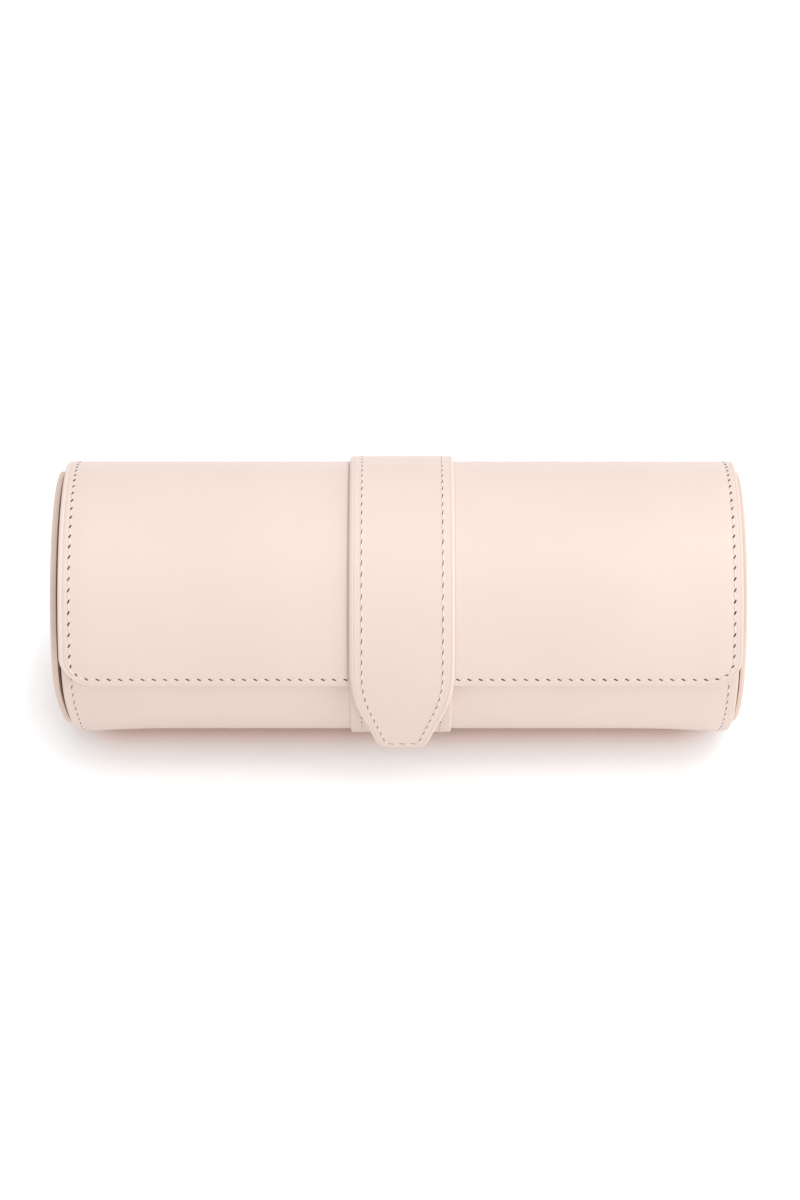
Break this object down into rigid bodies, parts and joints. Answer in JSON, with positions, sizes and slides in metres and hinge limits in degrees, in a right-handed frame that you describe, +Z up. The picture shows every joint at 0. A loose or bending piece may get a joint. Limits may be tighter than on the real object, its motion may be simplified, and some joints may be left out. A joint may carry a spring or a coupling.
{
  "type": "watch roll",
  "caption": "Cylindrical leather travel roll for wristwatches: round tub with end discs, dividers and cushions, a fold-over flap and a centre strap with a hidden magnetic clasp.",
  "frame": {"origin": "middle of the flat underside that the roll rests on", "axes": "+X along the roll to its right end, -Y the front where the strap closes, +Z up"},
  "size_m": [0.21, 0.0886, 0.0847],
  "materials": {
    "blush_leather": "smooth satin",
    "suede_lining": "soft suede",
    "stiffener_board": "plain",
    "cushion_foam": "plain foam",
    "clasp_metal": "satin nickel"
  },
  "bodies": {
    "tub": {"body_wrap": "blush_leather", "body_board": "stiffener_board", "body_lining": "suede_lining", "landing_patch": "blush_leather", "clasp_plate": "clasp_metal", "clasp_plate_washer": "clasp_metal", "left_end_cover": "blush_leather", "left_end_board": "stiffener_board", "left_end_lining": "suede_lining", "left_divider_board": "stiffener_board", "left_divider_suede": "suede_lining", "right_end_cover": "blush_leather", "right_end_board": "stiffener_board", "right_end_lining": "suede_lining", "right_divider_board": "stiffener_board", "right_divider_suede": "suede_lining", "left_cushion_core": "cushion_foam", "left_cushion_sleeve": "suede_lining", "left_cushion_ends": "suede_lining", "middle_cushion_core": "cushion_foam", "middle_cushion_sleeve": "suede_lining", "middle_cushion_ends": "suede_lining", "right_cushion_core": "cushion_foam", "right_cushion_sleeve": "suede_lining", "right_cushion_ends": "suede_lining"},
    "flap": {"flap_leather": "blush_leather", "flap_board": "stiffener_board", "flap_lining": "suede_lining", "strap_anchor": "blush_leather"},
    "strap": {"strap_leather": "blush_leather", "strap_lining": "blush_leather", "clasp_magnet": "clasp_metal", "clasp_magnet_washer": "clasp_metal"}
  },
  "joints": [
    {"name": "flap_fold", "type": "hinge", "parent": "tub", "child": "flap", "pos_m": [0, 0.04108, 0.04867], "axis": [-1, 0, 0], "range_deg": [0, 135]},
    {"name": "strap_fold", "type": "hinge", "parent": "flap", "child": "strap", "pos_m": [0, 0.03209, 0.06982], "axis": [-1, 0, 0], "range_deg": [0, 70]}
  ]
}
